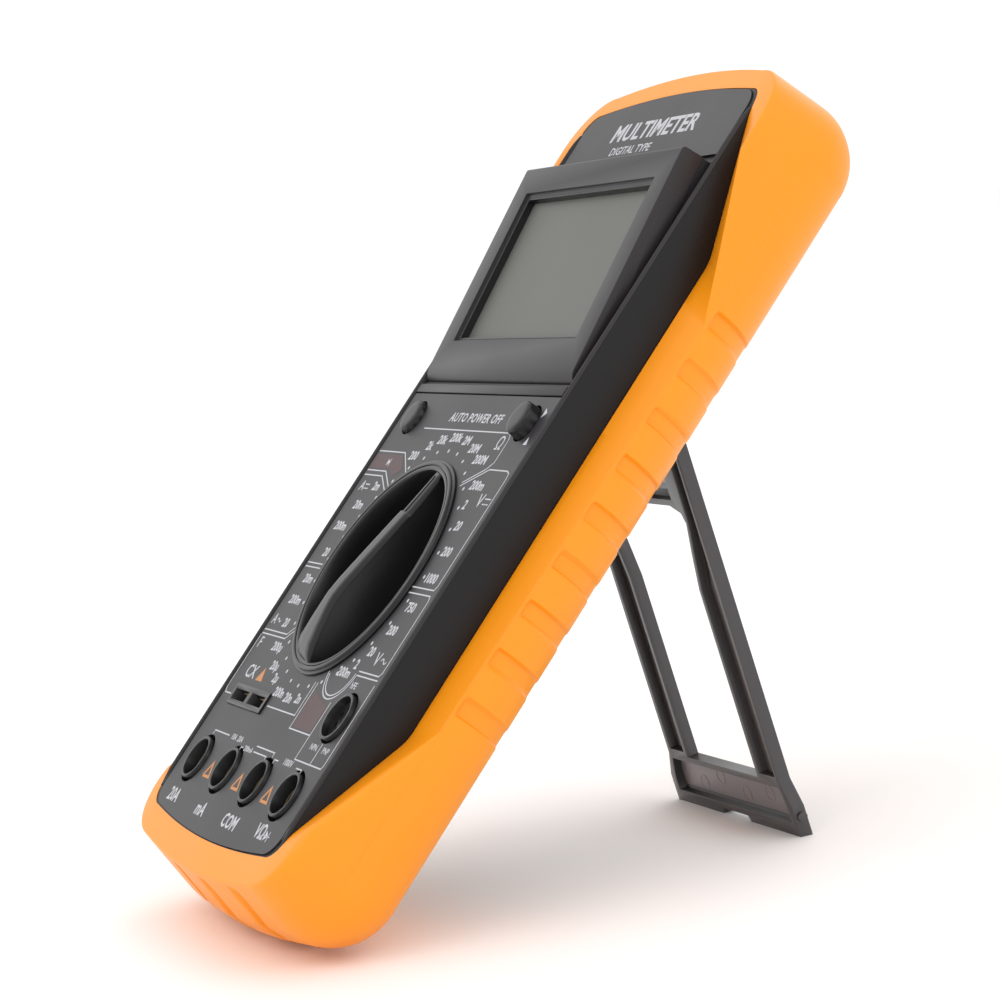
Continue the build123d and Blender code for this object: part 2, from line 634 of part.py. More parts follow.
def stand_frame():
    bar_out = STAND_BAR_X + STAND_BAR_WIDTH / 2
    bar_in = STAND_BAR_X - STAND_BAR_WIDTH / 2
    leg_end = STAND_LEG + 3.0
    window_low = 79.3
    cross_low = 20.6
    cross_high = 15.6

    def plate(points, z0=STAND_REAR, z1=STAND_FRONT):
        """A flat shape, given by its right half from top to bottom and mirrored."""
        left = [(-x, y) for x, y in reversed(points)]
        return slab(make_face(Polyline(*points, *left, close=True)), z0, z1)

    frame = plate([(bar_out, 0), (bar_out, window_low), (STAND_FOOT_HALF_WIDTH, window_low + 5.4),
                   (STAND_FOOT_HALF_WIDTH, leg_end)])
    # the legs are slimmer just under the crossbar
    frame = frame - plate([(bar_in - 1.6, cross_low), (bar_in + 2.6, cross_low + 1.4), (bar_in + 3.6, cross_low + 3.6),
                           (bar_in + 1.8, cross_low + 10), (bar_in, cross_low + 18), (bar_in, window_low)], -9, 9)
    frame = frame - block(-bar_in, bar_in, -9, cross_high, -9, 9)

    # channels in the face that lies against the case
    channel_floor = STAND_REAR + 1.0
    rib = 1.3
    for side in (-1, 1):
        channel = [(side * (bar_out - rib), 6), (side * (bar_out - rib), window_low - 1),
                   (side * (bar_in + rib), window_low - 1), (side * (bar_in + rib), cross_low + 18),
                   (side * (bar_in + rib + 1.8), cross_low + 10), (side * (bar_in + rib + 3.6), cross_low + 3.6),
                   (side * (bar_in + rib + 3.6), 6)]
        frame = frame - slab(make_face(Polyline(*channel, close=True)), channel_floor, 9)
    frame = frame - block(-bar_in, bar_in, cross_high + rib, cross_low - rib, channel_floor, 9)
    tray_low = STAND_LEG - 2.6
    frame = frame - plate([(bar_in - 1.0, window_low + rib), (bar_out - 1.0, window_low + rib),
                           (STAND_FOOT_HALF_WIDTH - 2.2, window_low + 6.0), (STAND_FOOT_HALF_WIDTH - 2.2, tray_low)],
                          channel_floor, 9)

    # knuckles round the hinge axis
    for side in (-1, 1):
        frame = frame + rod(STAND_KNUCKLE, side * (bar_in + 1), side * bar_out, 0, 0)
        frame = frame - rod(STAND_PIN_RADIUS, side * 20.5, side * 26, 0, 0)
        nub = Pos(side * STAND_FOOT_HALF_WIDTH, leg_end - 7.0, (STAND_REAR + STAND_FRONT) / 2)
        frame = frame + nub * Rot(0, 90, 0) * Cylinder(1.0, 2.0)
    # thumb notch in the edge of the foot
    notch = [(-9, leg_end + 1), (9, leg_end + 1), (5.5, STAND_LEG - 1.2), (-5.5, STAND_LEG - 1.2)]
    frame = frame - slab(make_face(Polyline(*notch, close=True)), -9, 9)
    frame = in_stand(frame)
    return frame - below_floor()


def stand_pins():
    pins = [rod(STAND_PIN_RADIUS, side * 20.7, side * 28.6, 0, 0) for side in (-1, 1)]
    return in_stand(Compound(children=pins))


# Every piece, leaned onto the stand and stood on the floor


def all_pieces():
    pieces = {
        "holster": holster(),
        "front_case": front_case(),
        "rear_case": rear_case(),
        "case_screws": case_screws(),
        "battery_door": battery_door(),
        "lower_panel": lower_panel(),
        "hinge_strip": hinge_strip(),
        "upper_panel": upper_panel(),
        "selector_knob": selector_knob(),
        "contact_carrier": contact_carrier(),
        "wipers": wipers(),
        "transistor_socket": transistor_socket(),
        "capacitor_socket": capacitor_socket(),
        "capacitor_contacts": capacitor_contacts(),
        "power_button": button_cap(-1, POWER_TOP),
        "hold_button": button_cap(1, HOLD_TOP),
        "power_switch": push_switch(-1, POWER_TOP),
        "hold_switch": push_switch(1, HOLD_TOP),
        "main_board": main_board(),
        "rotary_tracks": rotary_tracks(),
        "converter_chip": converter_chip(),
        "trimmers": trimmers(),
        "thermistor": thermistor(),
        "shunt_wire": shunt_wire(),
        "fuse": fuse(),
        "fuse_clips": fuse_clips(),
        "buzzer": buzzer(),
        "battery": battery(),
        "battery_snap": battery_snap(),
        "display_hood": display_hood(),
        "display_back": display_back(),
        "display_hinge_pins": display_hinge_pins(),
        "lcd_window": lcd_window(),
        "lcd_glass": lcd_glass(),
        "lcd_board": lcd_board(),
        "contact_strip": contact_strip(),
        "stand_frame": stand_frame(),
        "stand_pins": stand_pins(),
    }
    for index, name in enumerate(JACK_NAMES):
        pieces["jack_shroud_" + name] = jack_shroud(index)
        pieces["jack_contact_" + name] = jack_contact(index)
    return pieces


def main():
    os.makedirs("parts", exist_ok=True)
    leaned = {name: Rot(LEAN, 0, 0) * shape for name, shape in all_pieces().items()}
    boxes = [shape.bounding_box() for shape in leaned.values()]
    low_y = min(box.min.Y for box in boxes)
    high_y = max(box.max.Y for box in boxes)
    low_z = min(box.min.Z for box in boxes)
    print("lean", LEAN, "shift", -(low_y + high_y) / 2, -low_z)
    for name, shape in leaned.items():
        export_step(Pos(0, -(low_y + high_y) / 2, -low_z) * shape, "parts/" + name + ".step")


main()
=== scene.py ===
import json
import math

import bmesh
import bpy
from mathutils import Matrix, Vector


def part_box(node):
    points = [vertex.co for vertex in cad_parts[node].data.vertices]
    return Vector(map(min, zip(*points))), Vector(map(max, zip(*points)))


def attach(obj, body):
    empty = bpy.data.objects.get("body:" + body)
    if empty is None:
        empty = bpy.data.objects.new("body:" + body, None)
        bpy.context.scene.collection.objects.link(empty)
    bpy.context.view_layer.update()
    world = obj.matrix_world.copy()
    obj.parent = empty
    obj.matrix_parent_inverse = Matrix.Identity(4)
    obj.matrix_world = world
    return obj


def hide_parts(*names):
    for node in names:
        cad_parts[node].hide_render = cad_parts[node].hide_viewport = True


# Sizes are in millimetres, in the meter's own axes: x across, y towards the display, z out of the
# printed panel, with the selector's axis at x = y = 0. The lights and the floor are in the frame's
# own metres, and so are the few values marked so.

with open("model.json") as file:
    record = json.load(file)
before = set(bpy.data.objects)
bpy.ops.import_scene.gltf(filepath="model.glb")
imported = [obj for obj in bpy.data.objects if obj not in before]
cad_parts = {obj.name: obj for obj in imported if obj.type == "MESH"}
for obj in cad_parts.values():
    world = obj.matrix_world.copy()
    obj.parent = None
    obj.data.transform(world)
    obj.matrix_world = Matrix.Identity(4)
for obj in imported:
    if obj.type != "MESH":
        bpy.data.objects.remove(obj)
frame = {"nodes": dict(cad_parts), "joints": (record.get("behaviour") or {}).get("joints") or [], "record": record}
nodes = frame["nodes"]
joints = {joint["name"]: joint for joint in frame["joints"]}
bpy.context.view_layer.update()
scene = bpy.context.scene

MM = 0.001
CASE_BACK = -24.6
UP_FROM_PANEL = Vector(joints["selector_turn"]["axis"]).normalized()
ACROSS = Vector((1, 0, 0))
ALONG = UP_FROM_PANEL.cross(ACROSS)
METER = (Matrix.Translation(joints["selector_turn"]["pos_m"])
         @ Matrix((ACROSS, ALONG, UP_FROM_PANEL)).transposed().to_4x4()
         @ Matrix.Scale(MM, 4))
TO_METER = METER.inverted()


# Camera, light and floor

CAMERA_PLACE = Vector((552.64, -80.51, 188.05))
CAMERA_RIGHT = Vector((0.38038, 0.52761, -0.75957))
CAMERA_FORWARD = Vector((-0.92380, 0.17791, -0.33904))
LENS, SENSOR, NEAR = 107.12, 36, 0.02
FLOOR_HALF = 4.0     # metres
WORLD_STRENGTH = 1.04


def add_camera():
    """The camera of the photograph, from its place and directions in the meter's axes."""
    turn = METER.to_3x3().normalized()
    right = turn @ CAMERA_RIGHT
    forward = turn @ CAMERA_FORWARD
    right = (right - forward * right.dot(forward)).normalized()
    up = right.cross(forward)
    camera = bpy.data.objects.new("camera", bpy.data.cameras.new("camera"))
    camera.matrix_world = (Matrix.Translation(METER @ CAMERA_PLACE)
                           @ Matrix((right, up, -forward)).transposed().to_4x4())
    camera.data.lens = LENS
    camera.data.sensor_width = SENSOR
    camera.data.clip_start = NEAR
    scene.collection.objects.link(camera)
    scene.camera = camera


def add_light(name, place, target, size, power):
    light = bpy.data.lights.new(name, "AREA")
    light.shape = "RECTANGLE"
    light.size, light.size_y = size
    light.energy = power
    lamp = bpy.data.objects.new(name, light)
    lamp.location = place
    lamp.rotation_euler = (Vector(target) - Vector(place)).to_track_quat("-Z", "Y").to_euler()
    scene.collection.objects.link(lamp)


def add_studio():
    add_light("key_softbox", (0.10, -0.75, 1.00), (0, 0, 0.07), (0.9, 0.7), 2.0)
    add_light("side_softbox", (1.00, 0.35, 0.80), (0, 0, 0.08), (0.7, 0.7), 1.8)
    add_light("left_softbox", (-1.10, -0.25, 0.55), (0, 0, 0.08), (0.9, 0.9), 0.5)
    add_light("back_softbox", (-0.60, 0.80, 0.70), (0, 0, 0.08), (0.8, 0.8), 1.2)
    world = bpy.data.worlds.new("studio")
    world.use_nodes = True
    background = world.node_tree.nodes["Background"]
    background.inputs["Color"].default_value = (1, 1, 1, 1)
    background.inputs["Strength"].default_value = WORLD_STRENGTH
    scene.world = world
    scene.view_settings.view_transform = "Standard"


def add_floor():
    mesh = bpy.data.meshes.new("floor")
    corners = [(x * FLOOR_HALF, y * FLOOR_HALF, 0) for x, y in ((-1, -1), (1, -1), (1, 1), (-1, 1))]
    mesh.from_pydata(corners, [], [(0, 1, 2, 3)])
    floor = bpy.data.objects.new("floor", mesh)
    scene.collection.objects.link(floor)
    mesh.materials.append(moulded("floor_paint", (0.97, 0.97, 0.97), 0.7, grain=0.005, depth=0.0))


# Materials

DRIFT_SCALE = 38.0          # patches of slightly different colour and gloss
BUMP_DISTANCE = 0.0002      # metres
EDGE_HIGHLIGHT_FROM, EDGE_HIGHLIGHT_TO = 0.52, 0.62     # pointiness of the sharp edges that get a painted highlight
GLASS_ALPHA = 0.10


def moulded(name, colour, roughness, grain=0.06, scale=700.0, depth=0.08, metallic=0.0, edge_highlight=0.0, shine=0.5):
    """A procedural finish: a little drift in colour and gloss, the fine texture of the mould, and where asked a
    painted highlight that lightens the sharp edges.
    """
    def shaded(factor, lift=0.0):
        return [min(1.0, part * factor + lift) for part in colour] + [1]
    material = bpy.data.materials.new(name)
    material.use_nodes = True
    tree = material.node_tree
    shader = tree.nodes["Principled BSDF"]
    shader.inputs["Metallic"].default_value = metallic
    shader.inputs["Specular IOR Level"].default_value = shine
    place = tree.nodes.new("ShaderNodeTexCoord")

    drift = tree.nodes.new("ShaderNodeTexNoise")
    drift.inputs["Scale"].default_value = DRIFT_SCALE
    drift.inputs["Detail"].default_value = 4.0
    tree.links.new(place.outputs["Object"], drift.inputs["Vector"])
    shade = tree.nodes.new("ShaderNodeMixRGB")
    shade.inputs["Color1"].default_value = shaded(1 - grain)
    shade.inputs["Color2"].default_value = shaded(1 + grain)
    tree.links.new(drift.outputs["Fac"], shade.inputs["Fac"])
    tint = shade.outputs["Color"]

    # painted highlight: sharp edges, found by their pointiness, are made lighter as if they caught the light
    if edge_highlight:
        edge = tree.nodes.new("ShaderNodeNewGeometry")
        highlight_mask = tree.nodes.new("ShaderNodeMapRange")
        highlight_mask.inputs["From Min"].default_value = EDGE_HIGHLIGHT_FROM
        highlight_mask.inputs["From Max"].default_value = EDGE_HIGHLIGHT_TO
        highlight_mask.inputs["To Max"].default_value = edge_highlight
        tree.links.new(edge.outputs["Pointiness"], highlight_mask.inputs["Value"])
        highlighted = tree.nodes.new("ShaderNodeMixRGB")
        highlighted.inputs["Color2"].default_value = shaded(1.5, 0.03)
        tree.links.new(highlight_mask.outputs["Result"], highlighted.inputs["Fac"])
        tree.links.new(tint, highlighted.inputs["Color1"])
        tint = highlighted.outputs["Color"]
    tree.links.new(tint, shader.inputs["Base Color"])

    gloss = tree.nodes.new("ShaderNodeMapRange")
    gloss.inputs["To Min"].default_value = max(0.02, roughness - 0.05)
    gloss.inputs["To Max"].default_value = min(1.0, roughness + 0.07)
    tree.links.new(drift.outputs["Fac"], gloss.inputs["Value"])
    tree.links.new(gloss.outputs["Result"], shader.inputs["Roughness"])

    if depth:
        texture = tree.nodes.new("ShaderNodeTexNoise")
        texture.inputs["Scale"].default_value = scale
        texture.inputs["Detail"].default_value = 3.0
        tree.links.new(place.outputs["Object"], texture.inputs["Vector"])
        bump = tree.nodes.new("ShaderNodeBump")
        bump.inputs["Strength"].default_value = depth
        bump.inputs["Distance"].default_value = BUMP_DISTANCE
        tree.links.new(texture.outputs["Fac"], bump.inputs["Height"])
        tree.links.new(bump.outputs["Normal"], shader.inputs["Normal"])
    return material


def clear(name, tint):
    """A thin clear shell that what is inside shows through."""
    material = moulded(name, tint, 0.03, grain=0.01, depth=0.0)
    material.node_tree.nodes["Principled BSDF"].inputs["Alpha"].default_value = GLASS_ALPHA
    return material


# colour, roughness and what else differs from moulded()'s defaults, for each material slot; the
# window is drawn as an opaque display face, because a clear one so close to the glass renders as noise
LOOKS = {
    "holster_rubber": ((0.93, 0.300, 0.003), 0.40, dict(grain=0.03, scale=900, depth=0.05, shine=0.42)),
    "case_plastic": ((0.0060, 0.0056, 0.0062), 0.44,
                     dict(grain=0.1, scale=1500, depth=0.2, edge_highlight=0.2, shine=0.28)),
    "panel_print": ((0.030, 0.028, 0.031), 0.40, dict(grain=0.05, scale=2200, depth=0.05, shine=0.32)),
    "hood_plastic": ((0.022, 0.019, 0.021), 0.38, dict(grain=0.06, scale=1500, depth=0.06, shine=0.36)),
    "knob_plastic": ((0.0050, 0.0046, 0.0050), 0.30,
                     dict(grain=0.1, scale=1300, depth=0.06, edge_highlight=0.2, shine=0.5)),
    "carrier_plastic": ((0.75, 0.74, 0.70), 0.5, dict()),
    "button_plastic": ((0.007, 0.0065, 0.007), 0.34, dict(grain=0.1, edge_highlight=0.3, shine=0.4)),
    "switch_plastic": ((0.05, 0.05, 0.055), 0.3, dict()),
    "socket_plastic": ((0.006, 0.006, 0.0065), 0.32, dict(grain=0.1, depth=0.05, edge_highlight=0.25, shine=0.4)),
    "contact_brass": ((0.45, 0.32, 0.15), 0.32, dict(metallic=1.0, depth=0.05)),
    "gold_track": ((0.85, 0.66, 0.30), 0.25, dict(metallic=1.0, depth=0.03)),
    "shunt_alloy": ((0.70, 0.45, 0.30), 0.3, dict(metallic=1.0, depth=0.04)),
    "steel": ((0.55, 0.55, 0.56), 0.3, dict(metallic=1.0, depth=0.06)),
    "circuit_board": ((0.05, 0.22, 0.10), 0.35, dict(grain=0.15)),
    "chip_epoxy": ((0.03, 0.03, 0.03), 0.5, dict()),
    "trimmer_plastic": ((0.05, 0.15, 0.50), 0.3, dict()),
    "ceramic": ((0.70, 0.45, 0.15), 0.35, dict()),
    "battery_shell": ((0.12, 0.12, 0.14), 0.3, dict(metallic=0.6)),
    "clear_window": ((0.118, 0.118, 0.106), 0.42, dict(grain=0.02, scale=400, depth=0.0, shine=0.3)),
    "lcd": ((0.118, 0.118, 0.106), 0.45, dict(grain=0.02, scale=400, depth=0.0, shine=0.3)),
    "elastomer": ((0.6, 0.6, 0.6), 0.6, dict()),
    "stand_plastic": ((0.030, 0.026, 0.028), 0.30,
                      dict(grain=0.12, scale=900, depth=0.1, edge_highlight=0.4, shine=0.8)),
}
FINISHES = {slot: moulded(slot, colour, roughness, **rest) for slot, (colour, roughness, rest) in LOOKS.items()}
FINISHES["fuse_glass"] = clear("fuse_glass", (0.92, 0.94, 0.95))
# painted sheen: the tray's floor is the stand's own plastic, coloured lighter for the light it reflects
TRAY_SHEEN = moulded("tray_painted_sheen", (0.190, 0.168, 0.178), 0.30, grain=0.1, scale=900, depth=0.1, shine=0.8)
PRINT_WHITE = moulded("print_white", (0.52, 0.52, 0.55), 0.5, grain=0.05, depth=0.0)
PRINT_ORANGE = moulded("print_orange", (0.55, 0.22, 0.06), 0.5, grain=0.05, depth=0.0)
PRINT_RED = moulded("print_red", (0.078, 0.038, 0.040), 0.5, grain=0.05, depth=0.0)


def slot_of(node):
    return next(part["material_slot"] for part in frame["record"]["subparts"] if part["node"] == node)


# Mesh helpers

def piece(name, verts, faces, material, body, smooth):
    """A closed mesh given in the meter's millimetres, placed, shaded and riding on a body."""
    mesh = bpy.data.meshes.new(name)
    mesh.from_pydata([METER @ Vector(v) for v in verts], [], faces)
    return finished(name, mesh, material, body, smooth)


def finished(name, mesh, material, body, smooth):
    """An object for a mesh, smooth up to an angle between its faces and riding on a body."""
    mesh.materials.clear()
    mesh.materials.append(material)
    grid = bmesh.new()
    grid.from_mesh(mesh)
    bmesh.ops.recalc_face_normals(grid, faces=grid.faces)
    grid.to_mesh(mesh)
    grid.free()
    mesh.shade_smooth()
    mesh.set_sharp_from_angle(angle=math.radians(smooth))
    made = bpy.data.objects.new(name, mesh)
    scene.collection.objects.link(made)
    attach(made, body)
    return made


def stacked(start, rows, size, closed=False):
    """Faces between rows of points, each row a ring; closed joins the last row to the first."""
    faces = []
    for row in range(rows if closed else rows - 1):
        a, b = start + row * size, start + (row + 1) % rows * size
        for k in range(size):
            m = (k + 1) % size
            faces.append((a + k, a + m, b + m, b + k))
    return faces


def capped(start, rows, size):
    """Faces between rows of points, as from stacked(), and over both ends."""
    last = start + (rows - 1) * size
    ends = [tuple(range(start + size - 1, start - 1, -1)), tuple(range(last, last + size))]
    return stacked(start, rows, size) + ends


TUCK_FROM, TUCK_SLOPE = 109.0, 0.36         # along the case
TUCK_SIDE, TUCK_SIDE_SLOPE = 32.0, 0.4      # and across it


def tuck_corner(grid):
    """Slope the rear case's upper back edge, so that it stays inside the holster's rounded edge."""
    bmesh.ops.bisect_plane(grid, geom=grid.verts[:] + grid.edges[:] + grid.faces[:],
                           plane_co=METER @ Vector((0, TUCK_FROM, 0)), plane_no=ALONG)
    for vert in grid.verts:
        place = TO_METER @ vert.co
        if place.y > TUCK_FROM and place.z < CASE_BACK + 0.2:
            place.z += (place.y - TUCK_FROM) * TUCK_SLOPE
            place.z += max(0.0, abs(place.x) - TUCK_SIDE) * TUCK_SIDE_SLOPE
            vert.co = METER @ place


WELD = 0.000002      # metres
FLAT = 1.0           # degrees between faces that are taken as one
SMOOTH = 35.0        # degrees up to which a softened node is shaded smooth


def softened(node, body, slot, width, segments=2, angle=28.0, shape=None):
    """A copy of a CAD node with its edges rounded over, which is shown in its place."""
    mesh = nodes[node].data.copy()
    grid = bmesh.new()
    grid.from_mesh(mesh)
    bmesh.ops.remove_doubles(grid, verts=grid.verts, dist=WELD)
    bmesh.ops.dissolve_limit(grid, angle_limit=math.radians(FLAT), verts=grid.verts, edges=grid.edges)
    if shape:
        shape(grid)
    grid.to_mesh(mesh)
    grid.free()
    copy = bpy.data.objects.new(node + "_soft", mesh)
    scene.collection.objects.link(copy)
    bevel = copy.modifiers.new("rounding", "BEVEL")
    bevel.width = width * MM
    bevel.segments = segments
    bevel.limit_method = "ANGLE"
    bevel.angle_limit = math.radians(angle)
    bevel.use_clamp_overlap = True
    bevel.harden_normals = False
    bpy.context.view_layer.update()
    rounded = bpy.data.meshes.new_from_object(copy.evaluated_get(bpy.context.evaluated_depsgraph_get()))
    bpy.data.objects.remove(copy)
    made = finished(node + "_rounded", rounded, FINISHES[slot], body, SMOOTH)
    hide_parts(node)


def step(value, low, high):
    """Smooth step from 0 at low to 1 at high."""
    t = min(1.0, max(0.0, (value - low) / (high - low)))
    return t * t * (3 - 2 * t)


# Holster

HALF_WIDTH = 47.3
LOW, HIGH = -72.5, 122.5
BACK = -27.0
INNER_HALF = 40.45
MOUTH_LOW, MOUTH_HIGH = -63.6, 116.3
SEAT_LOW, SEAT_HIGH = -66.15, 118.75
POCKET_HALF, POCKET_LOW, POCKET_HIGH = 34.0, -43.5, 61.5     # the opening that the stand folds into
SIDE_CELLS, END_CELLS, CORNER_CELLS = 330, 90, 16
WALL_ROWS, EDGE_ROWS = 34, 8
EDGE_SHARE = 0.3            # of the rounded back edge's height, given to the wall's rows
PLAN_CORNER = 14.0
BACK_ROUND = 11.5
PAD_PITCH = 10.95
PAD_LAST = 71.0
PAD_COUNT = 9
PAD_GAP = 3.8
GROOVE_COUNT, GROOVE_PITCH, GROOVE_DEPTH = 4, 16.6, 1.5


def outline(half_width, low, high, arch, corner):
    """Points round an arched rectangle, anticlockwise from the lower right, always the same count."""
    inner = half_width - corner
    drop = arch * (inner / half_width) ** 2
    low_corner = low + drop + corner
    high_corner = high - drop - corner

    def side(x, start, end):
        return [(x, start + (end - start) * k / SIDE_CELLS) for k in range(SIDE_CELLS)]

    def bend(x, y, start):
        turns = [math.radians(start + 90 * k / CORNER_CELLS) for k in range(CORNER_CELLS)]
        return [(x + corner * math.cos(turn), y + corner * math.sin(turn)) for turn in turns]

    def end(y_middle, sign):
        places = [sign * (inner - 2 * inner * k / END_CELLS) for k in range(END_CELLS)]
        return [(x, y_middle - sign * arch * (x / half_width) ** 2) for x in places]

    return (side(half_width, low_corner, high_corner) + bend(inner, high_corner, 0)
            + end(high, 1) + bend(-inner, high_corner, 90)
            + side(-half_width, high_corner, low_corner) + bend(-inner, low_corner, 180)
            + end(low, -1) + bend(inner, low_corner, 270))


def dip(y):
    """1 where the side walls are cut down, 0 at the two ends, following the sloping cut between."""
    def cut(at):
        return max(0.0, min(1.0, (at + 56.0) / 27.4, (109.0 - at) / 29.5))
    return (cut(y - 1.6) + cut(y - 0.8) + cut(y) + cut(y + 0.8) + cut(y + 1.6)) / 5


def gap(y):
    """1 in the shallow gaps between the grip pads moulded along the side walls, 0 on the pads."""
    along = (PAD_LAST - y) / PAD_PITCH
    if along < -0.05 or along > PAD_COUNT - 0.2:
        return 0.0
    within = (along - math.floor(along + 0.05)) * PAD_PITCH
    return step(within, -0.15, 0.35) * (1 - step(within, PAD_GAP - 0.35, PAD_GAP + 0.3))


def groove(x, z):
    """Depth of the long grooves across the lower end."""
    depth = 0.0
    for index in range(GROOVE_COUNT):
        off = abs(x - (index - (GROOVE_COUNT - 1) / 2) * GROOVE_PITCH)
        depth = max(depth, 1 - step(off, 0.9, 2.3))
    return GROOVE_DEPTH * depth * step(-z, 2.5, 6.0) * (1 - step(-z, 19.5, 24.0))


def relief(x, y, z, crease):
    """How far a point of the outer wall lies inside the outline, from its taper, pads and grooves."""
    depth = 0.5 * step(-z, 14, 22)
    if abs(x) > HALF_WIDTH - 0.01:
        depth += 0.22 * step(-z, -crease + 0.15, -crease + 0.6)
        depth += 0.85 * gap(y) * step(-z, -crease + 0.6, -crease + 1.4)
    elif y < -60:
        depth += groove(x, z)
    return depth


def folded_front(x_out, y, lip, crease):
    """The front from the mouth to the crease, as (share of the way across, z) points.

    It runs over a folded edge, which towards the ends climbs from the crease to the front of the
    lip. The fold is sharp at the top and soft at the bottom.
    """
    upper = y > 20
    climb = max(crease, min(-0.6, -12.9 + 0.4 * ((y - 68.0) if upper else (-22.0 - y))))
    share = (climb - crease) / (-0.6 - crease)
    end_reach = 0.84 if upper else 0.64
    side = abs(x_out) ** 3
    fold = Vector((1 - (1 - end_reach - (0.92 - end_reach) * side) * share, climb))
    start = Vector((0.03, lip))
    finish = Vector((1.0, crease))
    blunt = 0.07 if upper else 0.10 + 0.24 * side
    first = start.lerp(fold, 1 - blunt)
    second = fold.lerp(finish, blunt)
    front = [start.lerp(first, k / 4) for k in range(5)]
    for k in range(1, 8):
        t = k / 7
        front.append(first.lerp(fold, t).lerp(fold.lerp(second, t), t))
    return front + [second.lerp(finish, k / 3) for k in range(1, 4)]


def holster_skin():
    """The whole holster as rings of points round its section, one section for each outline point."""
    outer = outline(HALF_WIDTH, LOW, HIGH, 5.0, PLAN_CORNER)
    mouth = outline(INNER_HALF, MOUTH_LOW, MOUTH_HIGH, 2.8, 5.0)
    seat = outline(INNER_HALF, SEAT_LOW, SEAT_HIGH, 3.6, 7.0)
    pocket = outline(POCKET_HALF, POCKET_LOW, POCKET_HIGH, 0.01, 2.0)
    count = len(outer)
    back_top = BACK + BACK_ROUND * EDGE_SHARE
    edge_turn = math.acos(1 - EDGE_SHARE)
    rows = []
    for i in range(count):
        ox, oy = outer[i]
        ax, ay = outer[i - 1]
        bx, by = outer[(i + 1) % count]
        tangent = Vector((bx - ax, by - ay)).normalized()
        out = Vector((tangent.y, -tangent.x))
        mx, my = mouth[i]
        lip = -0.2 - 9.8 * dip(my) * step(abs(mx), 38.0, 40.4)
        crease = -12.0 - 0.018 * (min(90.0, max(-40.0, oy)) + 5)
        reach = Vector((ox - mx, oy - my))

        # a feather edge over the case's rim at the lower end
        inward = Vector((mouth[i - 1][0] - mouth[(i + 1) % count][0],
                         mouth[i - 1][1] - mouth[(i + 1) % count][1])).normalized()
        inward = Vector((inward.y, -inward.x))
        feather = 0.03 + 0.75 * step(-my, 56, 62)
        profile = [(mx + inward.x * feather, my + inward.y * feather, lip - 0.08),
                   (mx + inward.x * feather, my + inward.y * feather, lip - 0.03)]

        for across, z in folded_front(out.x, oy, lip, crease):
            cut = groove(ox, z) * step(across, 0.6, 0.75) if oy < -60 and abs(ox) < 34 else 0.0
            profile.append((mx + reach.x * across, my + reach.y * across + cut, z))

        # the wall behind the crease, then the rest of the rounded back edge
        for k in range(1, WALL_ROWS + 1):
            z = crease + (back_top - crease) * k / WALL_ROWS
            under = max(0.0, (BACK + BACK_ROUND) - z)
            inset = BACK_ROUND - math.sqrt(BACK_ROUND ** 2 - under ** 2)
            depth = inset + relief(ox, oy, z, crease)
            profile.append((ox - out.x * depth, oy - out.y * depth, z))
        for k in range(1, EDGE_ROWS + 1):
            turn = edge_turn * (1 - k / EDGE_ROWS)
            inset = BACK_ROUND * (1 - math.sin(turn))
            z = BACK + BACK_ROUND * (1 - math.cos(turn))
            depth = inset + relief(ox, oy, z, crease) * (1 - k / EDGE_ROWS) ** 0.5
            profile.append((ox - out.x * depth, oy - out.y * depth, z))

        # the back round the stand's pocket, and the seat of the case inside
        px, py = pocket[i]
        ex, ey, _ = profile[-1]
        for k in (0.34, 0.67, 0.98):
            profile.append((ex + (px - ex) * k, ey + (py - ey) * k, BACK))
        profile.append((px, py, BACK + 0.5))
        profile.append((px, py, CASE_BACK))
        sx, sy = seat[i]
        profile.append((sx - out.x * 4.5, sy - out.y * 4.5, CASE_BACK))
        profile.append((sx - out.x * 0.4, sy - out.y * 0.4, -20.0))
        profile.append((sx, sy, lip - 2.1))
        profile.append((mx, my, lip - 2.1))
        profile.append((mx, my, lip - 0.12))
        rows.append(profile)
    verts = [point for row in rows for point in row]
    length = len(rows[0])
    faces = []
    for i in range(count):
        j = (i + 1) % count
        for k in range(length):
            m = (k + 1) % length
            faces.append((i * length + k, j * length + k, j * length + m, i * length + m))
    made = piece("holster_skin", verts, faces, FINISHES["holster_rubber"], "meter", 30)
    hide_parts("holster")


# Selector

POINTER_TURN = math.radians(11.25)
WELL_FLOOR = -8.6
RING_CELLS = 160
# radius and z, from the underside over the stepped ring to the floor of the dish
RING_PROFILE = [(5.0, -12.9), (5.0, -10.1), (24.2, -10.1), (24.2, 0.2), (25.3, 0.2), (25.3, 0.42),
                (25.2, 0.53), (24.85, 0.55), (24.75, 0.62), (24.7, 0.95), (24.6, 1.1), (24.4, 1.15),
                (24.0, 1.15), (23.85, 1.08), (23.78, 0.85), (23.62, 0.83), (23.52, 1.0), (23.3, 1.06),
                (22.95, 1.0), (22.75, 0.85), (22.6, 0.4), (22.4, -2.5), (22.0, -7.6), (21.4, -8.4),
                (20.6, -8.6)]
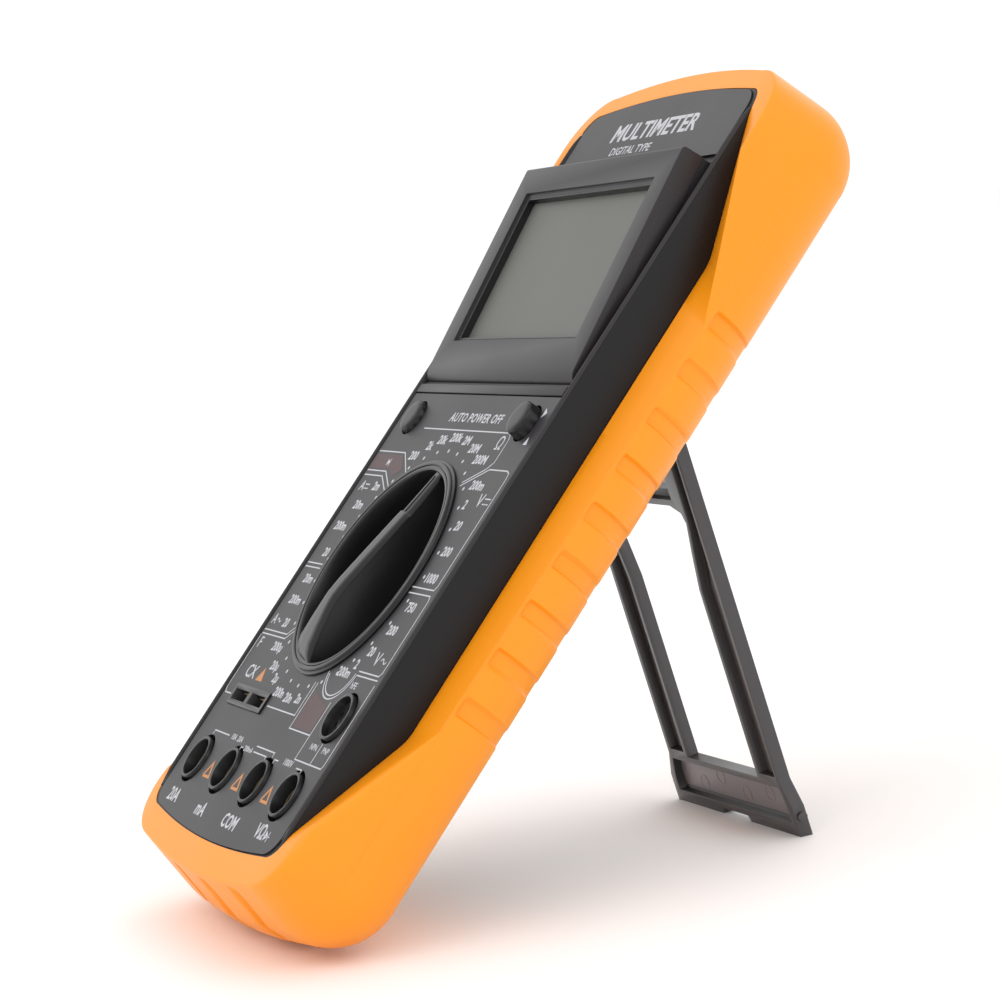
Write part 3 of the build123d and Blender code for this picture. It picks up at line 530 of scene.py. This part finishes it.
# along the handle: place, half width of its top, height of its crest, half width of its foot, groove in its tip
HANDLE = [(-22.62, 5.0, 1.05, 5.4, 0), (-22.2, 4.9, 1.5, 5.6, 0), (-21.2, 4.7, 2.1, 5.8, 0),
          (-19.5, 4.3, 2.75, 5.7, 0), (-16, 3.4, 3.35, 5.2, 0), (-12.5, 2.6, 3.85, 4.6, 0),
          (-10.5, 2.25, 4.1, 4.2, 0), (-9, 2.1, 4.2, 4.0, 0), (-6, 2.05, 4.05, 3.8, 0), (0, 2.0, 3.4, 3.5, 0),
          (6, 1.95, 2.72, 3.2, 0), (11.2, 1.9, 2.12, 3.0, 0), (12.2, 1.85, 1.98, 2.95, 0),
          (12.5, 1.7, 1.72, 2.93, 0), (12.8, 1.6, 1.66, 2.9, 0.42), (17, 1.45, 1.3, 2.7, 0.42),
          (21.2, 1.3, 0.98, 2.4, 0.4), (21.9, 1.25, 0.95, 2.0, 0.0), (22.6, 1.2, 0.85, 1.6, 0)]


def handle_section(w, crest, foot, groove_depth):
    """Half of the handle's section, from its foot up to the groove on its crest."""
    base = foot - w
    g = 0.34 * w
    return [(w + base, WELL_FLOOR - 0.05), (w + 0.5 * base, crest - 3.4), (w + 0.22 * base, crest - 1.5),
            (w + 0.2 * base, crest - 1.1), (w + 0.17 * base, crest - 0.8), (w + 0.12, crest - 0.55),
            (w + 0.04, crest - 0.34), (w - 0.08, crest - 0.12), (w - 0.28, crest), (g + 0.15, crest),
            (g, crest - groove_depth * 0.9), (g * 0.5, crest - groove_depth)]


def selector_skin():
    """The selector's dish with its ring, and the bar handle across it."""
    verts = []
    for r, z in RING_PROFILE:
        for k in range(RING_CELLS):
            turn = math.tau * k / RING_CELLS
            verts.append((r * math.cos(turn), r * math.sin(turn), z))
    faces = capped(0, len(RING_PROFILE), RING_CELLS)

    start = len(verts)
    for y, w, crest, foot, groove_depth in HANDLE:
        half = handle_section(w, crest, foot, groove_depth)
        section = half + [(-x, z) for x, z in reversed(half)]
        verts += [(x, y, z) for x, z in section]
    faces += capped(start, len(HANDLE), len(section))
    cosine, sine = math.cos(POINTER_TURN), math.sin(POINTER_TURN)
    verts = [(x * cosine + y * sine, y * cosine - x * sine, z) for x, y, z in verts]
    made = piece("selector_skin", verts, faces, FINISHES["knob_plastic"], "selector", 32)
    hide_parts("selector_knob")


# Display

HOOD_HINGE = TO_METER @ Vector(joints["display_tilt"]["pos_m"])
HOOD_TILT = math.radians(6.6)
HOOD = Matrix.Translation(HOOD_HINGE) @ Matrix.Rotation(HOOD_TILT, 4, "X")
WINDOW = (-30.8, 30.8, 7.0, 40.9)
LINER = ((0.02, 1.27), (0.02, 2.78), (0.12, 2.82), (0.4, 2.74), (0.5, 1.27))     # inset and height
RIM_LOW, RIM_STEP, RIM_COUNT, RIM_SIDES = -57.0, 2.0, 84, 7
RIM_X, RIM_Z, RIM_RADIUS = 39.95, -0.3, 0.5
KEY_CELLS, KEY_RIBS, RIB_DEPTH = 96, 12, 0.035


def recess_shade_liner():
    """A black sheet over the inner wall of the display's recess, painted shade where the hood's own plastic lies
    in the recess's shade.
    """
    x0, x1, y0, y1 = WINDOW
    verts = []
    for inset, z in LINER:
        for x, y in ((x0, y0), (x1, y0), (x1, y1), (x0, y1)):
            sx = inset if x == x0 else -inset
            sy = inset if y == y0 else -inset
            verts.append(HOOD @ Vector((x + sx, y + sy, z)))
    faces = stacked(0, len(LINER), 4, closed=True)
    piece("recess_shade_liner", verts, faces, FINISHES["socket_plastic"], "display", 20)


def rim_highlight_beads():
    """The thin rounded rim along each long edge of the case, beside the printed panel, coloured in the lighter
    hood plastic instead of the case's black as a painted highlight.
    """
    verts, faces = [], []
    for sign in (-1, 1):
        start = len(verts)
        for row in range(RIM_COUNT):
            y = RIM_LOW + RIM_STEP * row
            taper = step(y, -57.0, -53.0) * (1 - step(y, 106.0, 109.0))
            for k in range(RIM_SIDES):
                turn = math.pi * k / (RIM_SIDES - 1)
                verts.append((sign * (RIM_X + RIM_RADIUS * math.cos(turn)), y,
                              RIM_Z + (0.25 + 0.5 * taper) * math.sin(turn)))
        faces += capped(start, RIM_COUNT, RIM_SIDES)
    # painted highlight: the rim is really the case's black plastic, and the hood plastic makes it show as a light
    # line
    piece("rim_highlight_beads", verts, faces, FINISHES["hood_plastic"], "meter", 50)


def key_skin(node, body):
    """A round key with ribs round its side and a domed top."""
    low, high = (Vector(corner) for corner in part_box(node))
    centre_x = (TO_METER @ ((low + high) / 2)).x
    solid = [TO_METER @ vertex.co for vertex in nodes[node].data.vertices]
    top = max(v.z for v in solid)
    base = min(v.z for v in solid)
    radius = (max(v.x for v in solid) - min(v.x for v in solid)) / 2
    centre_y = (max(v.y for v in solid) + min(v.y for v in solid)) / 2
    # share of the radius, height, and how much of the ribs shows
    rings = [(1.0, base, 0), (1.0, 0.1, 0), (0.995, 0.3, 0.6), (0.985, top - 0.75, 1), (0.955, top - 0.4, 0.8),
             (0.90, top - 0.2, 0.3), (0.80, top - 0.06, 0), (0.55, top - 0.01, 0), (0.25, top, 0)]
    verts = []
    for share, z, ribs in rings:
        for k in range(KEY_CELLS):
            turn = math.tau * k / KEY_CELLS
            r = radius * share * (1 - RIB_DEPTH * ribs * (0.5 - 0.5 * math.cos(KEY_RIBS * turn)))
            verts.append((centre_x + r * math.cos(turn), centre_y + r * math.sin(turn), z))
    faces = capped(0, len(rings), KEY_CELLS)
    made = piece(node + "_skin", verts, faces, FINISHES["button_plastic"], body, 40)
    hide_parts(node)


# Stand

STAND_HINGE = TO_METER @ Vector(joints["stand_fold"]["pos_m"])
STAND = (Matrix.Translation(STAND_HINGE)
         @ Matrix.Rotation(math.radians(joints["stand_fold"]["range_deg"][1]), 4, "X")
         @ Matrix.Rotation(math.pi, 4, "Z"))
MARK_PLACES = ((-16, 83.6), (-5, 85.2), (6, 83.0), (15, 85.6))
MARK_PROFILE = ((1.9, -2.02), (1.9, -1.94), (1.72, -1.9), (1.55, -1.94), (1.55, -2.02))     # radius and height
MARK_SIDES = 24
TRAY = ((-22.6, 80.4), (22.6, 80.4), (25.0, 82.9), (25.0, 87.3), (-25.0, 87.3), (-25.0, 82.9))
TRAY_TOP, TRAY_UNDER = -1.98, -2.04


def ejector_marks():
    """The floor of the foot's tray, painted lighter than the stand as a painted sheen, and the faint round marks
    that the mould's pins leave in it.
    """
    verts, faces = [], []
    for x, y in MARK_PLACES:
        faces += stacked(len(verts), len(MARK_PROFILE), MARK_SIDES, closed=True)
        for r, z in MARK_PROFILE:
            for k in range(MARK_SIDES):
                turn = math.tau * k / MARK_SIDES
                verts.append(STAND @ Vector((x + r * math.cos(turn), y + r * math.sin(turn), z)))
    faces += capped(len(verts), 2, len(TRAY))
    for z in (TRAY_TOP, TRAY_UNDER):
        verts += [STAND @ Vector((x, y, z)) for x, y in TRAY]
    piece("ejector_marks", verts, faces, TRAY_SHEEN, "stand", 40)


# Printing on the panels

INK_LOW, INK_TOP, INK_HALF_DEPTH = 0.004, 0.03, 0.013
CAPITAL_SHARE = 0.7         # height of the capitals in the built-in font, as a share of its size
LINE = 0.28
ARC_STEPS, WAVE_STEPS, DOT_SIDES = 14, 10, 10


class Ink:
    """Collects flat printed shapes, a few hundredths of a millimetre thick, into one piece."""

    def __init__(self, z=0.0):
        self.verts = []
        self.faces = []
        self.low = z + INK_LOW
        self.top = z + INK_TOP

    def prism(self, ring):
        """A closed flat shape from its outline."""
        start = len(self.verts)
        count = len(ring)
        self.verts += [(x, y, self.top) for x, y in ring]
        self.verts += [(x, y, self.low) for x, y in ring]
        self.faces.append(tuple(range(start, start + count)))
        self.faces.append(tuple(range(start + 2 * count - 1, start + count - 1, -1)))
        for k in range(count):
            m = (k + 1) % count
            self.faces.append((start + m, start + k, start + count + k, start + count + m))

    def dot(self, x, y, radius):
        turns = [math.tau * k / DOT_SIDES for k in range(DOT_SIDES)]
        self.prism([(x + radius * math.cos(turn), y + radius * math.sin(turn)) for turn in turns])

    def line(self, points, width=LINE):
        """A line of constant width through the points, mitred at its corners."""
        left, right = [], []
        for k, (x, y) in enumerate(points):
            ahead = Vector(points[min(k + 1, len(points) - 1)]) - Vector((x, y))
            behind = Vector((x, y)) - Vector(points[max(k - 1, 0)])
            ahead = ahead.normalized() if ahead.length else behind.normalized()
            behind = behind.normalized() if behind.length else ahead
            mid = (ahead + behind).normalized()
            normal = Vector((-mid.y, mid.x))
            reach = width / 2 / max(0.4, mid.dot(ahead))
            left.append((x + normal.x * reach, y + normal.y * reach))
            right.append((x - normal.x * reach, y - normal.y * reach))
        self.prism(right + left[::-1])

    def arc(self, x, y, radius, start, end):
        turns = [math.radians(start + (end - start) * k / ARC_STEPS) for k in range(ARC_STEPS + 1)]
        self.line([(x + radius * math.cos(t), y + radius * math.sin(t)) for t in turns])

    def wave(self, x, y, pitch, height):
        """The sign for alternating current, starting at a point."""
        self.line([(x + pitch * k, y + height * math.sin(math.tau * k / WAVE_STEPS))
                   for k in range(WAVE_STEPS + 1)])

    def text(self, words, x, y, size, weight, spread=1.0, squeeze=1.0):
        """Words centred on a point, size being the height of the capitals."""
        curve = bpy.data.curves.new("words", "FONT")
        curve.body = words
        curve.size = size / CAPITAL_SHARE
        curve.align_x = "CENTER"
        curve.align_y = "CENTER"
        curve.resolution_u = 2
        curve.offset = weight
        curve.space_character = spread
        curve.extrude = INK_HALF_DEPTH
        holder = bpy.data.objects.new("words", curve)
        scene.collection.objects.link(holder)
        bpy.context.view_layer.update()
        mesh = bpy.data.meshes.new_from_object(holder.evaluated_get(bpy.context.evaluated_depsgraph_get()))
        start = len(self.verts)
        middle = (self.low + self.top) / 2
        self.verts += [(x + v.co.x * squeeze, y + v.co.y, middle + v.co.z) for v in mesh.vertices]
        self.faces += [tuple(start + v for v in face.vertices) for face in mesh.polygons]
        bpy.data.objects.remove(holder)
        bpy.data.curves.remove(curve)
        bpy.data.meshes.remove(mesh)

    def finish(self, name, material, body):
        """The collected shapes as one piece, in a colour."""
        piece(name, self.verts, self.faces, material, body, 30)


DOT_CIRCLE = 27.8
DOT_RADIUS = 0.42
RANGE_STEPS = 32
NUMBER = 2.05
NUMBER_WEIGHT = 0.085
RANGES = [
    ("200", -17.0, 26.0), ("2k", -11.6, 28.6), ("20k", -6.8, 30.2), ("200k", -0.2, 30.9), ("2M", 6.2, 30.4),
    ("20M", 12.6, 28.7), ("200M", 18.9, 26.3),
    ("200m", 25.5, 20.6), ("2", 25.4, 16.2), ("20", 28.6, 11.5), ("200", 31.0, 5.8), ("1000", 31.6, -0.2),
    ("750", 30.8, -6.8), ("200", 28.9, -12.1), ("20", 25.6, -17.2), ("2", 22.4, -20.4), ("200m", 18.6, -22.6),
    ("2n", 4.4, -30.4), ("20n", -1.1, -30.9), ("200n", -7.6, -30.4), ("2\u00b5", -14.2, -27.8),
    ("20\u00b5", -18.9, -25.4), ("200\u00b5", -24.2, -21.4),
    ("20", -28.2, -15.9), ("200m", -31.2, -10.5), ("20m", -31.6, -5.3),
    ("20", -31.2, 1.3), ("200m", -32.6, 7.8), ("20m", -30.2, 13.2), ("2m", -26.8, 18.0),
]


def panel_printing():
    """All printing, by colour: dial and jacks in white, markers, a dark line of painted shade along the seams,
    tinted fields and the title.
    """
    white = Ink()
    for stop in range(RANGE_STEPS):
        turn = math.tau * stop / RANGE_STEPS
        white.dot(DOT_CIRCLE * math.sin(turn), DOT_CIRCLE * math.cos(turn), DOT_RADIUS)
    for words, x, y in RANGES:
        white.text(words, x, y, NUMBER, NUMBER_WEIGHT)

    # what each group of ranges measures
    white.text("\u03a9", 23.4, 30.2, 3.0, 0.02)
    white.text("V", 31.4, 17.4, 2.9, 0.02)
    for x0, x1, y in ((33.2, 36.0, 18.0), (33.2, 34.0, 16.8), (34.3, 35.0, 16.8), (35.3, 36.0, 16.8)):
        white.line([(x0, y), (x1, y)])
    white.text("V", 30.6, -18.4, 2.9, 0.02)
    white.wave(32.6, -18.4, 0.3, 0.5)
    white.text("F", -35.6, -21.4, 2.6, 0.02)
    white.text("A", -35.8, -15.6, 2.4, 0.02)
    white.wave(-34.2, -15.6, 0.24, 0.4)
    white.text("A", -35.0, 17.8, 2.4, 0.02)
    for x0, x1, y in ((-33.6, -31.2, 18.3), (-33.6, -32.9, 17.3), (-32.7, -32.1, 17.3),
                     (-31.9, -31.2, 17.3)):
        white.line([(x0, y), (x1, y)])
    white.text("CX", -29.9, -28.0, 3.0, 0.05)
    white.text("hFE", 27.4, -24.6, 1.4, 0.03)
    white.text("NPN", 27.0, -38.3, 1.3, 0.02)
    white.text("PNP", 33.6, -38.3, 1.3, 0.02)
    white.text("AUTO POWER OFF", 3.5, 35.7, 2.1, 0.06, spread=1.08)

    # frames round the groups
    white.line([(-21, 32.8), (24.6, 32.8), (25.9, 32.3), (26.5, 31.2), (26.5, 26.0),
                (24.6, 24.4), (17.0, 21.0)])
    white.line([(17.0, 20.2), (26.5, 24.4), (35.4, 24.4), (36.6, 23.9), (37.0, 22.8), (37.0, -1.4),
                (36.4, -2.4), (25.2, -2.4)])
    white.line([(25.2, -3.7), (36.4, -3.7), (37.0, -4.7), (37.0, -20.6), (36.2, -21.5), (25.5, -21.5)])
    white.line([(37.0, -22.4), (25.5, -22.4)])
    white.arc(18.2, -21.2, 6.6, -160, -8)
    white.arc(18.2, -21.2, 7.4, -165, -10)
    white.line([(21.5, -29.0), (21.5, -41.7), (36.5, -41.7), (37.0, -41.0), (37.0, -23.4)])
    white.line([(30.2, -37.0), (30.2, -41.7)])
    white.line([(9.2, -26.0), (9.2, -36.4), (21.5, -36.4)])
    white.line([(7.8, -26.0), (7.8, -33.7), (-9.4, -33.7)])
    white.line([(-38.3, -19.5), (-38.3, -32.6), (-37.4, -33.7), (-33.6, -33.7)])
    white.line([(-38.0, -18.2), (-23.6, -18.2), (-20.2, -15.4)])
    white.line([(-38.0, -19.2), (-23.2, -19.2), (-19.4, -16.2)])
    white.line([(-38.0, -1.5), (-28.8, -1.5)])
    white.line([(-38.0, -2.5), (-28.8, -2.5)])
    white.line([(-38.0, 21.8), (-27.0, 21.8), (-20.4, 18.4)])
    white.line([(-38.0, 20.6), (-27.4, 20.6), (-21.0, 17.3)])
    white.line([(-38.0, 26.6), (-22.8, 26.6), (-15.6, 22.0)])

    # over and under the jacks, and small marks beside the ranges and the right-hand key
    white.line([(-29.0, -43.0), (-29.0, -42.0), (-19.4, -42.0)])
    white.line([(-1.2, -42.0), (10.0, -42.0), (10.0, -43.0)])
    white.text("10A  20A", -14.2, -42.0, 1.3, 0.03)
    white.line([(-9.2, -43.9), (-9.2, -43.3), (-8.0, -43.3)])
    white.text("200mA", -4.6, -43.3, 1.2, 0.03)
    white.line([(-1.2, -43.3), (6.8, -43.3), (6.8, -43.9)])
    white.text("1000V", 19.6, -42.9, 1.4, 0.03)
    white.line([(12.0, -44.0), (12.0, -43.2), (14.2, -43.2)])
    white.line([(25.0, -43.2), (28.2, -43.2), (28.2, -44.0)])
    white.text("20A", -29.0, -57.6, 2.9, 0.10, squeeze=0.9)
    white.text("mA", -9.6, -57.9, 2.9, 0.10, squeeze=0.9)
    white.text("COM", 9.4, -57.8, 2.9, 0.10, squeeze=0.9)
    white.text("V\u03a9", 27.2, -56.9, 2.9, 0.10, squeeze=0.9)
    white.prism([(30.2, -56.0), (30.2, -58.2), (32.0, -57.1)])
    white.line([(32.1, -56.0), (32.1, -58.2)])
    white.line([(29.4, -57.1), (33.0, -57.1)], 0.2)
    white.prism([(-29.4, 24.8), (-29.4, 23.2), (-28.0, 24.0)])
    white.line([(-28.0, 24.9), (-28.0, 23.1)])
    white.prism([(35.0, 36.6), (36.6, 37.7), (35.0, 38.8)])
    white.prism([(34.4, 30.4), (36.2, 30.4), (35.3, 32.2)])
    white.finish("dial_printing", PRINT_WHITE, "meter")

    orange = Ink()
    for x in (-18.2, 0.8, 19.4):
        orange.line([(x - 1.9, -51.5), (x, -48.4), (x + 1.9, -51.5), (x - 1.9, -51.5)], 0.62)
    orange.prism([(-25.0, -29.4), (-21.0, -29.4), (-23.0, -26.2)])
    orange.finish("marker_printing", PRINT_ORANGE, "meter")

    # painted shade: a dark line along the real seams between the panel and the rim, for the shade in their gap
    seam_shade = Ink()
    for x in (-39.2, 39.2):
        seam_shade.line([(x, -56.5), (x, 43.5)], 0.3)
    seam_shade.finish("panel_seam_shade", FINISHES["socket_plastic"], "meter")

    red = Ink(-0.002)
    red.prism([(-37.6, 22.4), (-25.4, 22.4), (-21.8, 20.6), (-18.6, 22.6), (-22.6, 25.8), (-37.6, 25.8)])
    red.prism([(10.0, -27.6), (20.8, -30.2), (20.8, -35.8), (10.0, -35.8)])
    red.finish("tint_printing", PRINT_RED, "meter")

    title = Ink()
    title.text("MULTIMETER", -0.5, 107.3, 4.3, 0.16, squeeze=1.12)
    title.text("DIGITAL TYPE", -6.5, 102.5, 2.0, 0.05, squeeze=1.1)
    title.finish("title_printing", PRINT_WHITE, "meter")


# The scene: camera, light and floor, finishes on the CAD nodes, then the detailed pieces

add_camera()
add_studio()
add_floor()
for name, node in nodes.items():
    node.data.materials.clear()
    node.data.materials.append(FINISHES[slot_of(name)])
holster_skin()
panel_printing()
softened("display_hood", "display", "hood_plastic", 0.9, 4)
selector_skin()
recess_shade_liner()
softened("lcd_window", "display", "clear_window", 0.1, 1)
softened("lcd_glass", "display", "lcd", 0.05, 1)
softened("stand_frame", "stand", "stand_plastic", 0.22, 2)
ejector_marks()
softened("front_case", "meter", "case_plastic", 0.3, 2, angle=40)
softened("rear_case", "meter", "case_plastic", 0.25, 1, angle=40, shape=tuck_corner)
softened("battery_door", "meter", "case_plastic", 0.25, 2)
softened("hinge_strip", "meter", "hood_plastic", 0.15, 2)
key_skin("power_button", "power_key")
key_skin("hold_button", "hold_key")
rim_highlight_beads()
for jack in ("20a", "ma", "com", "volt"):
    softened("jack_shroud_" + jack, "meter", "socket_plastic", 0.15, 2)
softened("transistor_socket", "meter", "socket_plastic", 0.15, 2)
softened("capacitor_socket", "meter", "socket_plastic", 0.2, 2)
